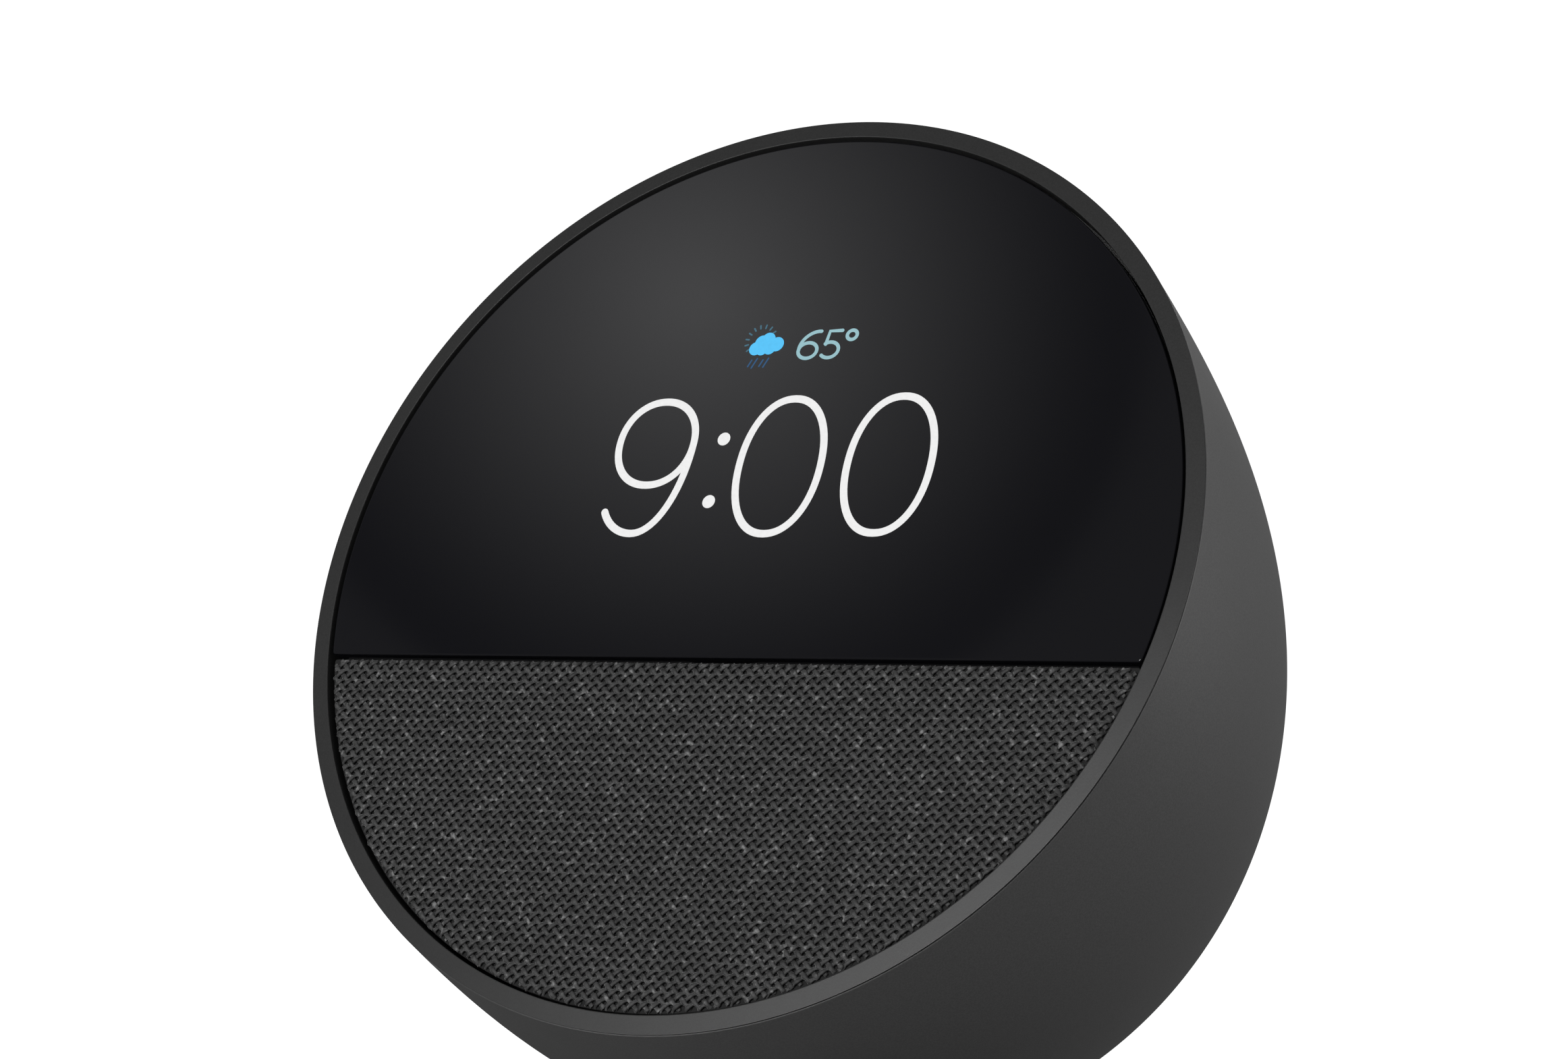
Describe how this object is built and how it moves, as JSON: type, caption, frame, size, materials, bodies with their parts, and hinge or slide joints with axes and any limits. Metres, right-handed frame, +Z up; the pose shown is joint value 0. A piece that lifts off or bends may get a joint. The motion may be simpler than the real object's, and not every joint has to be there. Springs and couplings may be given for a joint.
{
  "type": "smart display",
  "caption": "Ball-shaped smart display with a tilted round face: glossy display lens above, fabric-covered speaker below, press buttons at the upper rear, power inlet and flat rubber foot.",
  "frame": {"origin": "centre of the bounding box on the table, under the foot", "axes": "+X to the right of someone facing the display, -Y the way the face looks, +Z up"},
  "size_m": [0.113, 0.098, 0.1112],
  "materials": {
    "housing_plastic": "fine matte texture",
    "ring_plastic": "satin",
    "lens_glass": "polished, black printed back",
    "speaker_cloth": "fine plain weave",
    "frame_plastic": "moulded",
    "dark_adhesive": "foam tape",
    "panel_glass": "dark panel",
    "tray_metal": "stamped",
    "flex_film": "polyimide film",
    "foam": "closed-cell foam",
    "basket_metal": "black coating",
    "surround_rubber": "soft",
    "cone_paper": "pressed pulp",
    "coil_copper": "wound copper",
    "spider_cloth": "resin-dipped cotton",
    "magnet_ferrite": "ferrite",
    "motor_steel": "zinc plated",
    "screw_steel": "zinc plated",
    "board_laminate": "solder mask",
    "can_metal": "tin plated",
    "chip_resin": "moulded resin",
    "pad_silicone": "soft pad",
    "sink_aluminium": "anodised",
    "connector_plastic": "moulded",
    "jack_plastic": "moulded",
    "pin_metal": "plated",
    "lead_red": "wire insulation",
    "lead_black": "wire insulation",
    "button_plastic": "fine matte texture",
    "switch_plastic": "moulded",
    "plunger_plastic": "moulded",
    "seal_silicone": "silicone",
    "bracket_plastic": "moulded",
    "mic_metal": "plated can",
    "base_plastic": "moulded",
    "foot_rubber": "non-slip"
  },
  "bodies": {
    "housing": {"rear_shell": "housing_plastic", "bezel_ring": "ring_plastic", "front_frame": "frame_plastic", "display_lens": "lens_glass", "lens_adhesive": "dark_adhesive", "display_panel": "panel_glass", "backlight_tray": "tray_metal", "display_flex": "flex_film", "speaker_fabric": "speaker_cloth", "grille_plate": "frame_plastic", "speaker_gasket": "foam", "speaker_basket": "basket_metal", "speaker_surround": "surround_rubber", "spider": "spider_cloth", "top_plate": "motor_steel", "magnet": "magnet_ferrite", "yoke": "motor_steel", "speaker_enclosure": "frame_plastic", "enclosure_screw_1": "screw_steel", "enclosure_screw_2": "screw_steel", "main_board": "board_laminate", "shield_can": "can_metal", "processor": "chip_resin", "thermal_pad": "pad_silicone", "heat_sink": "sink_aluminium", "display_connector": "connector_plastic", "power_connector": "connector_plastic", "power_board": "board_laminate", "power_jack": "jack_plastic", "jack_pin": "pin_metal", "power_inlet": "housing_plastic", "power_lead_positive": "lead_red", "power_lead_negative": "lead_black", "volume_down_switch": "switch_plastic", "volume_up_switch": "switch_plastic", "microphone_switch": "switch_plastic", "button_seal": "seal_silicone", "button_flex": "flex_film", "button_bracket": "bracket_plastic", "microphone_1": "mic_metal", "microphone_2": "mic_metal", "base_plate": "base_plastic", "rubber_foot": "foot_rubber", "board_screw_1": "screw_steel", "board_screw_2": "screw_steel", "board_screw_3": "screw_steel", "board_screw_4": "screw_steel", "base_screw_1": "screw_steel", "base_screw_2": "screw_steel", "base_screw_3": "screw_steel"},
    "volume_down": {"volume_down_button": "button_plastic", "volume_down_plunger": "plunger_plastic"},
    "volume_up": {"volume_up_button": "button_plastic", "volume_up_plunger": "plunger_plastic"},
    "microphone_off": {"microphone_button": "button_plastic", "microphone_plunger": "plunger_plastic"},
    "cone": {"speaker_cone": "cone_paper", "dust_cap": "cone_paper", "voice_coil": "coil_copper"}
  },
  "joints": [
    {"name": "volume_down_press", "type": "slide", "parent": "housing", "child": "volume_down", "axis": [0.2334, -0.6363, -0.7353], "range_m": [0, 0.0006], "stiffness_N_per_m": 600},
    {"name": "volume_up_press", "type": "slide", "parent": "housing", "child": "volume_up", "axis": [0, -0.6544, -0.7562], "range_m": [0, 0.0006], "stiffness_N_per_m": 600},
    {"name": "microphone_press", "type": "slide", "parent": "housing", "child": "microphone_off", "axis": [-0.2334, -0.6363, -0.7353], "range_m": [0, 0.0006], "stiffness_N_per_m": 600},
    {"name": "cone_stroke", "type": "slide", "parent": "housing", "child": "cone", "axis": [0, -0.9063, 0.4226], "range_m": [-0.001, 0.001], "stiffness_N_per_m": 1500, "deforming": ["speaker_surround", "spider"]}
  ]
}
